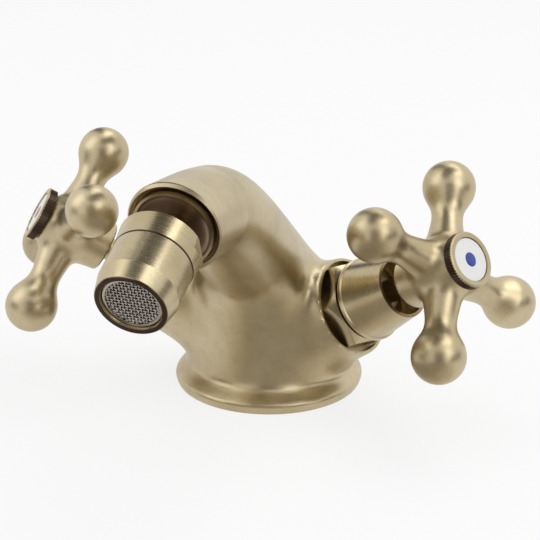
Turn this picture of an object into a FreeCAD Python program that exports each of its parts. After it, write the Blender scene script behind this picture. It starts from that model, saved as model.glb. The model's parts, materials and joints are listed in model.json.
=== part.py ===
import FreeCAD, Part
import math
import os

from FreeCAD import Matrix, Placement, Vector

# Two-handle bidet mixer tap in brushed brass. Millimetres, degrees.
# Origin: centre of the base's underside. +Z up, the spout points to -Y, cold is at +X, hot at -X.

# ---------------------------------------------------------------- driving dimensions

# base flange
BASE_R = 29.4            # widest radius of the lip
LIP_TUCK = 0.7           # the lip's foot is this much smaller
LIP_Z = 1.6              # height of the lip's widest line
LIP_TOP_Z = 3.9
COVE_Z = 11.0            # top of the cove, where the flange runs into the trunk

# trunk: a bulge that leans forward under the neck
TRUNK_R = 23.4
TRUNK_MID_Z = 30.0
TRUNK_MID_R = 20.6
TRUNK_TOP_Z = 47.0
TRUNK_TOP_R = 12.5
TRUNK_BULGE = 0.6        # the side between the cove and the middle swells out by this much

# neck and spout, in the plane X = 0
SPOUT_REACH = 78.6       # rim's centre, forward of the origin
SPOUT_HEIGHT = 74.7
SPOUT_DROP = 15.0        # the mouth's axis, below the horizontal
SPOUT_R = 12.8           # at the rim
NECK_ARCH_R = 12.5
NECK_ROOT_R = 15.4
NECK_ROOT_Y = 4.3
NECK_ROOT_Z = 30.4
NECK_SLOPE = 36.6        # rise of the neck where it leaves the trunk
NECK_END_RISE = 5.6      # rise of the neck where the mouth cuts it
NECK_PULL = 0.767        # how far each end's direction carries, as a share of the span
NECK_END_PULL = 0.389

# valve axes: both pass through one point behind the body's centre
ROOT_Y = 7.7
ROOT_Z = 10.5
VALVE_RISE = 31.0        # above the horizontal
VALVE_LEAN = 24.3        # towards the spout
CROSS_S = 74.9           # distance of the cross's centre along the axis
MOUTH_S = 35.4           # port mouth
PORT_R = 14.6            # at the mouth
PORT_MID_R = 16.5
PORT_ROOT_R = 20.5
MOUTH_TIP_UP = -0.05     # the mouth's face leans forward at the top, as a slope
MOUTH_TIP_REAR = 0.08

# valve seat and bores in the body
SEAT_S = 13.6            # bottom of the valve chamber
CHAMBER_GAP = 0.3        # round the cartridge's lower barrel
THREAD_OVER = 1.5        # the bonnet's thread is this much wider than the chamber, on the radius
SHELF_S = 27.0           # shoulder between chamber and thread
FLOOR_S = 32.2           # floor of the counterbore
COUNTERBORE_R = 14.1
WATERWAY_R = 3.8
SEAT_HOLE_R = 2.5
SEAT_HOLE_DEPTH = 6.0
SEAL_HOLE_R = 3.2
NECK_BORE_R = 5.4
NECK_BORE_PULL = 0.12    # as NECK_END_PULL, for the waterway inside the neck

# bonnet, a hexagonal collar of 24 mm across flats
HEX_AF = 24.0
HEX_TOP_S = 41.6
HEX_CHAMFER_R = 11.8
HEX_TURN = -9.0          # how far the collar happens to be screwed in
BONNET_NECK_R = 9.0
BONNET_NECK_S = 47.0

# shroud
SHROUD_S = 43.3
SHROUD_TOP_S = 58.0
SHROUD_R = 12.3
SHROUD_TOP_R = 9.5
SHROUD_WALL = 1.0

# ceramic valve
BARREL_R = 8.3           # cartridge's lower barrel
STEM_BARREL_R = 6.0      # its upper barrel
CARTRIDGE_TOP_S = 49.5
DISC_R = 6.6
DISC_T = 1.9
SEAL_T = 1.8
DISC_CAVITY_R = 6.8
CAVITY_TOP_S = 23.0
SPINDLE_R = 3.5
SPINDLE_FOOT_R = 6.3
FILM = 0.05              # water film between the ceramic discs
RUN = 0.06               # radial clearance of a running fit
SPLINE_TEETH = 20
SPLINE_R = 3.5
SPLINE_DEPTH = 0.35
SPINDLE_TOP_S = 69.0
SPINDLE_RING_S = 32.0
RING_WIRE_R = 0.55
RING_BELOW_SHELF = 2.2   # the cartridge's rubber ring, below the body's shelf
SHOULDER_RISE = 0.3      # the cartridge's shoulder stands proud of the shelf, so that the bonnet clamps it
WINDOW_WIDTH = 5.0       # side window that lets the water out of the cartridge
WINDOW_HEIGHT = 3.0

# cross handle
HUB_BACK_S = 61.8
HUB_SKIRT_R = 7.7
HUB_R = 9.2
HUB_FRONT_S = 82.8
HUB_FRONT_R = 6.9
ARM_BALL_AT = 27.0       # ball centre from the axis
ARM_BALL_R = 7.8
ARM_NECK_R = 4.9
ARM_NECK_AT = 13.2
COLD_CROSS_TURN = -37.0
HOT_CROSS_TURN = 33.0

# screw, cap and button
SCREW_R = 1.95
SCREW_HEAD_R = 3.6
SCREW_HEAD_T = 2.4
SCREW_LENGTH = 12.0
CAP_POCKET_R = 4.8
WEB_S = 71.0             # underside of the web that the screw clamps
WEB_T = 2.5
CAP_R = 8.2
CAP_T = 2.8
CAP_TEETH = 60
CAP_KNURL = 0.22
BUTTON_R = 6.5
BUTTON_T = 1.4
BUTTON_SINK = 0.25

# spout mouth, swivel and aerator; distances run along the mouth's axis from the rim
MOUTH_SEAT_R = 11.4
MOUTH_SEAT_DEPTH = 2.4
MOUTH_THREAD_R = 8.0
MOUTH_THREAD_DEPTH = 10.5
ADAPTOR_R = 11.0
ADAPTOR_PROUD = 1.0
ADAPTOR_WALL = 0.7
DISH_DEPTH = 2.0
THREAD_GAP = 0.08        # radial clearance that stands for a thread's play
WASHER_T = 1.4
WASHER_IN_R = 5.6
STEM_R = 3.7
STEM_BORE_R = 2.3
BALL_AT = 12.6
BALL_R = 8.4
NOZZLE_DROP = 22.5       # nozzle's axis below the horizontal
COLLAR_R = 11.3
COLLAR_BACK = -4.4       # along the nozzle's axis from the ball's centre
SEAM_AT = 2.7
COLLAR_SPIGOT_R = 9.4
COLLAR_SPIGOT_AT = 6.2
SEAT_AT = 3.6            # the ball seat's back edge
SEAT_END_AT = 7.4
NOZZLE_R = 10.6
NOZZLE_TAPER_AT = 13.4
NOZZLE_END_AT = 18.6
NOZZLE_END_R = 9.2
NOZZLE_BORE_R = 8.0
SEAT_HOLE_WIDE_R = 4.4   # way through the ball seat and the washer behind the aerator
AERATOR_RING_R = 7.9
AERATOR_RING_T = 2.4
CORE_FLOOR_T = 1.6
CORE_HOLES = 12
CORE_HOLES_AT_R = 4.2
CORE_HOLE_R = 0.6
SCREEN_R = 7.0
SCREEN_PITCH = 1.0
SCREEN_WIRE = 0.34
AERATOR_SINK = 1.0

# underside
RECESS_R = 20.5
RECESS_DEPTH = 7.0
GASKET_OUT_R = 26.6
GASKET_IN_R = 23.0
GASKET_T = 2.0
INLET_R = 4.5            # M10 x 1 thread for a flexible hose
INLET_LENGTH = 8.0
INLET_X = 8.2
INLET_Y = 11.0
STUD_R = 3.4             # M8 thread for the holding-down stud
STUD_LENGTH = 10.0
STUD_Y = -9.0

# ---------------------------------------------------------------- sizes that follow from those above

CHAMBER_R = BARREL_R + CHAMBER_GAP
THREAD_R = CHAMBER_R + THREAD_OVER
ADAPTOR_BACK = WASHER_T - MOUTH_THREAD_DEPTH
SOCKET_R = BALL_R + RUN

FAR = 200.0              # reach of a cutting solid, well past the object

UP = Vector(0, 0, 1)


# ---------------------------------------------------------------- helpers

def turned(profile):
    """Solid of revolution about local Z from (radius, height) points, in order round the outline."""
    points = [Vector(r, 0, z) for r, z in profile]
    wire = Part.makePolygon(points + [points[0]])
    return Part.Face(wire).revolve(Vector(0, 0, 0), UP, 360)


def turned_wire(edges):
    """Solid of revolution about local Z from the edges of a closed outline in the XZ plane."""
    return Part.Face(Part.Wire(edges)).revolve(Vector(0, 0, 0), UP, 360)


def line(a, b):
    return Part.LineSegment(Vector(a[0], 0, a[1]), Vector(b[0], 0, b[1])).toShape()


def arc(a, through, b):
    start, middle, end = (Vector(r, 0, z) for r, z in (a, through, b))
    return Part.Arc(start, middle, end).toShape()


def curve(points):
    spline = Part.BSplineCurve()
    spline.interpolate([Vector(r, 0, z) for r, z in points])
    return spline.toShape()


def rod(radius, low, high):
    return Part.makeCylinder(radius, high - low, Vector(0, 0, low), UP)


def tube(outer, inner, low, high):
    return rod(outer, low, high).cut(rod(inner, low - 1, high + 1))


def rod_between(radius, start, end):
    axis = end.sub(start)
    return Part.makeCylinder(radius, axis.Length, start, axis)


def ring(major, wire_r, height):
    return Part.makeTorus(major, wire_r, Vector(0, 0, height), UP)


def star(radius, depth, teeth, low, high):
    """Straight-splined rod: twice as many corners as teeth, alternately out and in."""
    corners = []
    for i in range(2 * teeth):
        r = radius if i % 2 == 0 else radius - depth
        angle = math.pi * i / teeth
        corners.append(Vector(r * math.cos(angle), r * math.sin(angle), low))
    wire = Part.makePolygon(corners + [corners[0]])
    return Part.Face(wire).extrude(Vector(0, 0, high - low))


def split_ring(outer, inner, low, high, gap):
    """Open spring clip with a gap on the local -Y side."""
    slot = Part.makeBox(gap, outer + 1, high - low + 2, Vector(-gap / 2, -outer - 1, low - 1))
    return tube(outer, inner, low, high).cut(slot)


def frame_on(origin, axis, sideways):
    """Placement with local Z on the axis, local X on the sideways direction."""
    z = Vector(axis).normalize()
    x = Vector(sideways).sub(z * z.dot(sideways)).normalize()
    y = z.cross(x)
    return Placement(Matrix(
        x.x, y.x, z.x, origin.x,
        x.y, y.y, z.y, origin.y,
        x.z, y.z, z.z, origin.z,
        0, 0, 0, 1,
    ))


def placed(shape, placement):
    moved = shape.copy()
    moved.Placement = placement.multiply(moved.Placement)
    return moved


# ---------------------------------------------------------------- axes

def valve_frame(side):
    """Local Z runs out along a valve's axis, local X lies level; side is +1 for cold, -1 for hot."""
    rise = math.radians(VALVE_RISE)
    lean = math.radians(VALVE_LEAN)
    level = math.cos(rise)
    axis = Vector(side * level * math.cos(lean), -level * math.sin(lean), math.sin(rise))
    return frame_on(Vector(0, ROOT_Y, ROOT_Z), axis, UP.cross(axis))


def drop_axis(degrees):
    return Vector(0, -math.cos(math.radians(degrees)), -math.sin(math.radians(degrees)))


RIM = Vector(0, -SPOUT_REACH, SPOUT_HEIGHT)
MOUTH_AXIS = drop_axis(SPOUT_DROP)
NOZZLE_AXIS = drop_axis(NOZZLE_DROP)
BALL = RIM + MOUTH_AXIS * BALL_AT
MOUTH = frame_on(RIM, MOUTH_AXIS, Vector(1, 0, 0))
NOZZLE = frame_on(BALL, NOZZLE_AXIS, Vector(1, 0, 0))


# ---------------------------------------------------------------- body

def flange():
    """Rounded lip that sweeps up through a cove into the trunk."""
    foot_r = BASE_R - LIP_TUCK
    rise = LIP_TOP_Z - LIP_Z
    cove = BASE_R - TRUNK_R
    lip_side = arc((foot_r, 0), (BASE_R - 0.15 * LIP_TUCK, LIP_Z / 2), (BASE_R, LIP_Z))
    sweep = curve([
        (BASE_R, LIP_Z),
        (BASE_R - 0.09 * cove, LIP_Z + 0.62 * rise),
        (BASE_R - 0.32 * cove, LIP_TOP_Z),
        (BASE_R - 0.66 * cove, LIP_TOP_Z + 0.16 * (COVE_Z - LIP_TOP_Z)),
        (BASE_R - 0.92 * cove, LIP_TOP_Z + 0.48 * (COVE_Z - LIP_TOP_Z)),
        (TRUNK_R, COVE_Z),
    ])
    return turned_wire([
        line((0, 0), (foot_r, 0)),
        lip_side,
        sweep,
        line((TRUNK_R, COVE_Z), (0, COVE_Z)),
        line((0, COVE_Z), (0, 0)),
    ])


def disc_wire(centre, axis, radius):
    """Circle whose start point always lies on the +X side, so that a loft through several doesn't twist."""
    return placed(Part.Wire(Part.makeCircle(radius)), frame_on(centre, axis, Vector(1, 0, 0)))


def lean_axis(degrees):
    """Upward direction that leans forward by an angle from the vertical."""
    return Vector(0, -math.sin(math.radians(degrees)), math.cos(math.radians(degrees)))


def trunk():
    """Bulging front: level at the cove, leaning forward as it goes up under the neck."""
    slope = math.radians(NECK_SLOPE)
    top_y = NECK_ROOT_Y - (TRUNK_TOP_Z + 3 - NECK_ROOT_Z) / math.tan(slope)
    mid_y = top_y * 0.3
    low_z = (COVE_Z + TRUNK_MID_Z) / 2
    low_r = (TRUNK_R + TRUNK_MID_R) / 2 + TRUNK_BULGE
    sections = [
        disc_wire(Vector(0, 0, COVE_Z), UP, TRUNK_R),
        disc_wire(Vector(0, mid_y / 4, low_z), lean_axis(4), low_r),
        disc_wire(Vector(0, mid_y, TRUNK_MID_Z), lean_axis(14), TRUNK_MID_R),
        disc_wire(Vector(0, top_y, TRUNK_TOP_Z), lean_axis(35), TRUNK_TOP_R),
    ]
    return Part.makeLoft(sections, True, False)


def neck_path(end, end_way, end_pull):
    """Line from the neck's root: it leaves along the neck's slope and arrives along end_way."""
    slope = math.radians(NECK_SLOPE)
    start = Vector(0, NECK_ROOT_Y, NECK_ROOT_Z)
    begin_way = Vector(0, -math.cos(slope), math.sin(slope))
    span = end.sub(start).Length
    begin_pole = start + begin_way * (NECK_PULL * span)
    end_pole = end - end_way * (end_pull * span)
    path = Part.BezierCurve()
    path.setPoles([start, begin_pole, end_pole, end])
    return path


def loft_along(path, radius_at, begin, count):
    """Round sections along the path, from a share of its length to its end."""
    sections = []
    for i in range(count):
        t = begin + (1 - begin) * i / (count - 1)
        sections.append(disc_wire(path.value(t), path.tangent(t)[0], radius_at(t)))
    return Part.makeLoft(sections, True, False)


def neck_solid(path):
    """The neck, carried straight on past the rim and cut off by the mouth's plane."""
    end = placed(rod(neck_radius(1), 0, SPOUT_R), frame_on(RIM, path.tangent(1)[0], Vector(1, 0, 0)))
    beyond = placed(rod(FAR, 0, FAR), MOUTH)
    return loft_along(path, neck_radius, 0.0, 9).fuse(end).cut(beyond)


def neck_radius(t):
    """Slims from the root to the arch, then swells a little to the rim."""
    arch_t = 0.72
    if t < arch_t:
        blend = (t / arch_t) ** 1.3
        return NECK_ROOT_R + (NECK_ARCH_R - NECK_ROOT_R) * blend
    blend = ((t - arch_t) / (1 - arch_t)) ** 1.5
    return NECK_ARCH_R + (SPOUT_R - NECK_ARCH_R) * blend


def neck_back(path):
    """Rounded shoulder that closes the neck's root at the back."""
    start = path.value(0)
    cap = Part.makeSphere(neck_radius(0))
    front = rod(FAR, 0, FAR)
    return placed(cap.cut(front), frame_on(start, path.tangent(0)[0], Vector(1, 0, 0)))


def port(side):
    """Swelling arm that carries a valve; its mouth's face leans a little off the axis."""
    start_s = 4.0
    mid_s = 0.62 * MOUTH_S
    outline = [
        line((0, start_s), (PORT_ROOT_R, start_s)),
        curve([(PORT_ROOT_R, start_s), (PORT_MID_R, mid_s), (PORT_R, MOUTH_S), (PORT_R - 0.6, MOUTH_S + 6)]),
        line((PORT_R - 0.6, MOUTH_S + 6), (0, MOUTH_S + 6)),
        line((0, MOUTH_S + 6), (0, start_s)),
    ]
    arm = turned_wire(outline)
    face_axis = Vector(side * MOUTH_TIP_REAR, MOUTH_TIP_UP, 1)
    beyond = placed(rod(FAR, 0, FAR), frame_on(Vector(0, 0, MOUTH_S), face_axis, Vector(1, 0, 0)))
    arm = placed(arm.cut(beyond), valve_frame(side))
    below = Part.makeBox(2 * FAR, 2 * FAR, FAR, Vector(-FAR, -FAR, LIP_Z + 1 - FAR))
    other_side = Part.makeBox(FAR, 2 * FAR, 2 * FAR, Vector(0 if side < 0 else -FAR, -FAR, -FAR))
    return arm.cut(below).cut(other_side)


def body():
    centre_line = neck_path(RIM, lean_axis(90 - NECK_END_RISE), NECK_END_PULL)
    ports = port(1).fuse(port(-1))
    base = trunk().fuse(flange())
    outside = base.fuse(ports).fuse(neck_back(centre_line)).fuse(neck_solid(centre_line))
    throat = MOUTH.multVec(Vector(0, 0, 1 - MOUTH_THREAD_DEPTH))
    waterway = neck_path(throat, MOUTH_AXIS, NECK_BORE_PULL)
    inside = [
        loft_along(waterway, lambda t: NECK_BORE_R, 0.05, 7),
        placed(rod(MOUTH_SEAT_R, -MOUTH_SEAT_DEPTH, FAR), MOUTH),
        placed(rod(MOUTH_THREAD_R, -MOUTH_THREAD_DEPTH, 0), MOUTH),
        rod(RECESS_R, -1, RECESS_DEPTH),
        tube(GASKET_OUT_R, GASKET_IN_R, -1, GASKET_T),
        rod_at(STUD_R, 0, STUD_Y, RECESS_DEPTH, RECESS_DEPTH + STUD_LENGTH),
    ]
    for side in (1, -1):
        valve = valve_frame(side)
        bores = rod(CHAMBER_R, SEAT_S, FAR).fuse([
            rod(THREAD_R, SHELF_S, FAR),
            rod(COUNTERBORE_R, FLOOR_S, FAR),
            rod(SEAT_HOLE_R, SEAT_S - SEAT_HOLE_DEPTH - 0.5, SEAT_S + 1),
        ])
        inside.append(placed(bores, valve))
        chamber = valve.multVec(Vector(0, 0, (SEAT_S + SHELF_S) / 2))
        inside.append(rod_between(WATERWAY_R, chamber, waterway.value(0.1)))
        top_of_inlet = Vector(side * INLET_X, INLET_Y, RECESS_DEPTH + INLET_LENGTH)
        inside.append(rod_at(INLET_R, top_of_inlet.x, INLET_Y, RECESS_DEPTH, top_of_inlet.z))
        seat_feed = valve.multVec(Vector(0, 0, SEAT_S - SEAT_HOLE_DEPTH))
        inside.append(rod_between(SEAT_HOLE_R, top_of_inlet - UP * SEAT_HOLE_R, seat_feed))
    return outside.cut(inside)


def rod_at(radius, x, y, low, high):
    return Part.makeCylinder(radius, high - low, Vector(x, y, low), UP)


def base_gasket():
    return tube(GASKET_OUT_R, GASKET_IN_R, 0, GASKET_T)


# ---------------------------------------------------------------- valve, in the valve's local frame

def hexagon(across_flats, turn, low, high):
    corner = across_flats / math.sqrt(3)
    points = []
    for i in range(7):
        angle = math.radians(turn + 60 * i)
        points.append(Vector(corner * math.cos(angle), corner * math.sin(angle), low))
    return Part.Face(Part.makePolygon(points)).extrude(Vector(0, 0, high - low))


def bonnet(turn):
    """Hexagonal collar with its corners bevelled above, a thread below and a round neck on top."""
    corner = HEX_AF / math.sqrt(3)
    bevel_s = HEX_TOP_S - (corner - HEX_CHAMFER_R) * 0.9
    envelope = turned([
        (0, FLOOR_S),
        (corner, FLOOR_S),
        (corner, bevel_s),
        (HEX_CHAMFER_R, HEX_TOP_S),
        (0, HEX_TOP_S),
    ])
    collar = hexagon(HEX_AF, turn, FLOOR_S, HEX_TOP_S).common(envelope)
    thread = rod(THREAD_R - THREAD_GAP, SHELF_S + SHOULDER_RISE, FLOOR_S)
    neck = rod(BONNET_NECK_R, HEX_TOP_S, BONNET_NECK_S)
    bore = rod(STEM_BARREL_R + 0.1, SHELF_S - 1, BONNET_NECK_S + 1)
    return collar.fuse([thread, neck]).cut(bore)


def shroud():
    """Conical sleeve with a small bead at its wide end; a foot inside it grips the bonnet's neck."""
    slope = (SHROUD_R - SHROUD_TOP_R) / (SHROUD_TOP_S - SHROUD_S)
    foot_s = SHROUD_S + 3.0
    inner_low = SHROUD_R - SHROUD_WALL - slope * (foot_s - SHROUD_S)
    bead = 0.25
    return turned([
        (BONNET_NECK_R + 0.05, SHROUD_S),
        (SHROUD_R + bead, SHROUD_S),
        (SHROUD_R + bead, SHROUD_S + 0.9),
        (SHROUD_R - slope * 1.2, SHROUD_S + 1.2),
        (SHROUD_TOP_R, SHROUD_TOP_S),
        (SHROUD_TOP_R - SHROUD_WALL, SHROUD_TOP_S),
        (inner_low, foot_s),
        (BONNET_NECK_R + 0.05, foot_s),
    ])


def cartridge_housing():
    """Lower barrel round the discs, shoulder, and upper barrel round the spindle."""
    bottom = SEAT_S + SEAL_T / 2
    shoulder_top = SHELF_S + SHOULDER_RISE
    groove_s = SHELF_S - RING_BELOW_SHELF
    outside = turned([
        (0, bottom),
        (BARREL_R, bottom),
        (BARREL_R, groove_s - 1.0),
        (BARREL_R - 1.0, groove_s - 1.0),
        (BARREL_R - 1.0, groove_s + 1.0),
        (BARREL_R, groove_s + 1.0),
        (BARREL_R, shoulder_top),
        (STEM_BARREL_R, shoulder_top),
        (STEM_BARREL_R, CARTRIDGE_TOP_S),
        (0, CARTRIDGE_TOP_S),
    ])
    cavity = rod(DISC_CAVITY_R, bottom - 1, CAVITY_TOP_S)
    bore = rod(SPINDLE_R + RUN, CAVITY_TOP_S - 1, CARTRIDGE_TOP_S + 1)
    window = Part.makeBox(4 * BARREL_R, WINDOW_WIDTH, WINDOW_HEIGHT,
                          Vector(-2 * BARREL_R, -WINDOW_WIDTH / 2, CAVITY_TOP_S - 1 - WINDOW_HEIGHT))
    return outside.cut([cavity, bore, window])


def seat_seal():
    return tube(DISC_CAVITY_R - 0.1, SEAL_HOLE_R, SEAT_S, SEAT_S + SEAL_T)


def cartridge_ring():
    return ring(BARREL_R - 0.4, RING_WIRE_R, SHELF_S - RING_BELOW_SHELF)


def disc_ports(low, high):
    """Two facing quarter-round windows through a ceramic disc."""
    wedge = rod(DISC_R - 1.2, low, high).cut(rod(1.6, low - 1, high + 1))
    quarter = Part.makeBox(DISC_R, DISC_R, high - low + 2, Vector(0.4, 0.4, low - 1))
    opposite = Part.makeBox(DISC_R, DISC_R, high - low + 2, Vector(-DISC_R - 0.4, -DISC_R - 0.4, low - 1))
    return wedge.common(quarter).fuse(wedge.common(opposite))


FIXED_LOW = SEAT_S + SEAL_T
FIXED_TOP = FIXED_LOW + DISC_T
MOVING_LOW = FIXED_TOP + FILM
MOVING_TOP = MOVING_LOW + DISC_T


def fixed_disc():
    return rod(DISC_R, FIXED_LOW, FIXED_TOP).cut(disc_ports(FIXED_LOW - 1, FIXED_TOP + 1))


def moving_disc():
    """Turned a quarter from the fixed disc, so that its windows are shut at rest."""
    windows = disc_ports(MOVING_LOW - 1, MOVING_TOP + 1)
    windows.rotate(Vector(0, 0, 0), UP, 90)
    return rod(DISC_R - RUN, MOVING_LOW, MOVING_TOP).cut(windows)


def spindle():
    foot_low = MOVING_TOP
    ring_s = SPINDLE_RING_S
    clip_s = CARTRIDGE_TOP_S + 0.1
    stem_top = HUB_BACK_S - 0.2
    shaft = turned([
        (0, foot_low),
        (SPINDLE_FOOT_R, foot_low),
        (SPINDLE_FOOT_R, CAVITY_TOP_S - 0.1),
        (SPINDLE_R, CAVITY_TOP_S - 0.1),
        (SPINDLE_R, ring_s - 0.7),
        (SPINDLE_R - 1.0, ring_s - 0.7),
        (SPINDLE_R - 1.0, ring_s + 0.7),
        (SPINDLE_R, ring_s + 0.7),
        (SPINDLE_R, clip_s),
        (SPINDLE_R - 0.6, clip_s),
        (SPINDLE_R - 0.6, clip_s + 0.8),
        (SPINDLE_R, clip_s + 0.8),
        (SPINDLE_R, stem_top),
        (0, stem_top),
    ])
    head = star(SPLINE_R, SPLINE_DEPTH, SPLINE_TEETH, stem_top, SPINDLE_TOP_S)
    hole = rod(SCREW_R + 0.05, WEB_S + WEB_T - SCREW_LENGTH - 1, SPINDLE_TOP_S + 1)
    return shaft.fuse(head).cut(hole)


def spindle_ring():
    return ring(SPINDLE_R - 0.45, 0.5, SPINDLE_RING_S)


def spindle_clip():
    low = CARTRIDGE_TOP_S + 0.15
    return split_ring(SPINDLE_R + 1.4, SPINDLE_R - 0.55, low, low + 0.7, 2.0)


# ---------------------------------------------------------------- handle, in the valve's local frame

def arm():
    """Pear-shaped arm along local X, turned about its own line, from the hub's inside to the tip."""
    ball_low = ARM_BALL_AT - 0.72 * ARM_BALL_R
    ball_low_r = ARM_BALL_R * math.sqrt(1 - 0.72 ** 2)
    tip = ARM_BALL_AT + ARM_BALL_R
    flank = curve([
        (5.0, ARM_NECK_R + 1.6),
        (ARM_NECK_AT, ARM_NECK_R),
        (ball_low - 1.6, ball_low_r - 0.25),
        (ARM_BALL_AT - 0.35 * ARM_BALL_R, 0.945 * ARM_BALL_R),
        (ARM_BALL_AT, ARM_BALL_R),
    ])
    cheek = math.sqrt(0.5) * ARM_BALL_R
    end = arc((ARM_BALL_AT, ARM_BALL_R), (ARM_BALL_AT + cheek, cheek), (tip, 0))
    outline = [line((5.0, 0), (5.0, ARM_NECK_R + 1.6)), flank, end, line((tip, 0), (5.0, 0))]
    return Part.Face(Part.Wire(outline)).revolve(Vector(0, 0, 0), Vector(1, 0, 0), 360)


def cross_handle(turn):
    web_top = WEB_S + WEB_T
    hub = turned_wire([
        line((0, HUB_BACK_S), (HUB_SKIRT_R, HUB_BACK_S)),
        curve([
            (HUB_SKIRT_R, HUB_BACK_S),
            (HUB_SKIRT_R + 0.3, HUB_BACK_S + 3.0),
            (HUB_R, CROSS_S - 3.0),
            (HUB_R, CROSS_S + 1.5),
            (HUB_FRONT_R, HUB_FRONT_S),
        ]),
        line((HUB_FRONT_R, HUB_FRONT_S), (0, HUB_FRONT_S)),
        line((0, HUB_FRONT_S), (0, HUB_BACK_S)),
    ])
    arms = []
    for quarter in range(4):
        one = arm()
        one.translate(Vector(0, 0, CROSS_S))
        one.rotate(Vector(0, 0, 0), UP, turn + 90 * quarter)
        arms.append(one)
    socket = star(SPLINE_R + RUN, SPLINE_DEPTH, SPLINE_TEETH, HUB_BACK_S - 1, WEB_S)
    screw_way = rod(SCREW_R + 0.3, HUB_BACK_S, HUB_FRONT_S)
    pocket = rod(CAP_POCKET_R, web_top, HUB_FRONT_S + 1)
    return hub.fuse(arms).cut([socket, screw_way, pocket])


def handle_screw():
    seat = WEB_S + WEB_T
    shank = rod(SCREW_R, seat - SCREW_LENGTH, seat)
    head = rod(SCREW_HEAD_R, seat, seat + SCREW_HEAD_T)
    slot = Part.makeBox(2 * SCREW_HEAD_R + 2, 0.9, 1.2,
                        Vector(-SCREW_HEAD_R - 1, -0.45, seat + SCREW_HEAD_T - 1.1))
    return shank.fuse(head).cut(slot)


def index_cap():
    """Knurled ring with a threaded spigot below and a pocket for the button above."""
    low = HUB_FRONT_S
    top = low + CAP_T
    bevel = 0.5
    spigot_low = WEB_S + WEB_T + SCREW_HEAD_T + 0.4
    knurled = star(CAP_R, CAP_KNURL, CAP_TEETH, low, top)
    envelope = turned([(0, low), (CAP_R + 1, low), (CAP_R + 1, top - bevel), (CAP_R - bevel, top), (0, top)])
    rim = turned([(0, low), (CAP_R - CAP_KNURL - 0.1, low), (CAP_R - CAP_KNURL - 0.1, top - bevel),
                  (CAP_R - CAP_KNURL - 0.1 - bevel, top), (0, top)])
    head = knurled.common(envelope).fuse(rim)
    spigot = tube(CAP_POCKET_R - 0.1, CAP_POCKET_R - 1.3, spigot_low, low)
    pocket = rod(BUTTON_R + 0.05, top - BUTTON_SINK - BUTTON_T, top + 1)
    return head.fuse(spigot).cut(pocket)


def index_button():
    top = HUB_FRONT_S + CAP_T - BUTTON_SINK
    low = top - BUTTON_T
    edge = 0.3
    return turned([(0, low), (BUTTON_R, low), (BUTTON_R, top - edge), (BUTTON_R - edge, top), (0, top)])


# ---------------------------------------------------------------- outlet, on the mouth's axis

def spout_adaptor():
    """Flange on a threaded shank; its front is a shallow dish with a thin rim, bored for the stem."""
    shank_r = MOUTH_THREAD_R - THREAD_GAP
    bearing_r = STEM_R + RUN
    dish_r = ADAPTOR_R - ADAPTOR_WALL
    dish_floor = ADAPTOR_PROUD - DISH_DEPTH
    dish = curve([
        (dish_r, ADAPTOR_PROUD),
        (0.94 * dish_r, ADAPTOR_PROUD - 0.5 * DISH_DEPTH),
        (0.76 * dish_r, ADAPTOR_PROUD - 0.9 * DISH_DEPTH),
        (0.55 * dish_r, dish_floor),
        (bearing_r, dish_floor),
    ])
    return turned_wire([
        line((bearing_r, ADAPTOR_BACK), (shank_r, ADAPTOR_BACK)),
        line((shank_r, ADAPTOR_BACK), (shank_r, -MOUTH_SEAT_DEPTH)),
        line((shank_r, -MOUTH_SEAT_DEPTH), (ADAPTOR_R, -MOUTH_SEAT_DEPTH)),
        line((ADAPTOR_R, -MOUTH_SEAT_DEPTH), (ADAPTOR_R, ADAPTOR_PROUD)),
        line((ADAPTOR_R, ADAPTOR_PROUD), (dish_r, ADAPTOR_PROUD)),
        dish,
        line((bearing_r, dish_floor), (bearing_r, ADAPTOR_BACK)),
    ])


def adaptor_washer():
    return tube(MOUTH_THREAD_R - 2 * THREAD_GAP, WASHER_IN_R, -MOUTH_THREAD_DEPTH, ADAPTOR_BACK)


def ball_stem():
    """Ball on a hollow stem; a groove behind the adaptor takes the clip, one inside it the ring."""
    back = -MOUTH_THREAD_DEPTH + 0.05
    face = ADAPTOR_BACK
    ring_s = face + 2.2
    stem = turned([
        (0, back),
        (STEM_R, back),
        (STEM_R, face - 1.0),
        (STEM_R - 0.6, face - 1.0),
        (STEM_R - 0.6, face - 0.1),
        (STEM_R, face - 0.1),
        (STEM_R, ring_s - 0.7),
        (STEM_R - 0.9, ring_s - 0.7),
        (STEM_R - 0.9, ring_s + 0.7),
        (STEM_R, ring_s + 0.7),
        (STEM_R, BALL_AT),
        (0, BALL_AT),
    ])
    ball = Part.makeSphere(BALL_R, Vector(0, 0, BALL_AT))
    flat = rod(BALL_R + 1, BALL_AT + 0.72 * BALL_R, BALL_AT + 2 * BALL_R)
    bore = rod(STEM_BORE_R, back - 1, BALL_AT + BALL_R + 1)
    return stem.fuse(ball).cut([flat, bore])


def stem_clip():
    return split_ring(STEM_R + 1.2, STEM_R - 0.55, ADAPTOR_BACK - 0.9, ADAPTOR_BACK - 0.2, 2.4)


def stem_ring():
    return ring(STEM_R - 0.45, 0.5, ADAPTOR_BACK + 2.2)


# ---------------------------------------------------------------- nozzle, on its axis from the ball's centre

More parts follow.
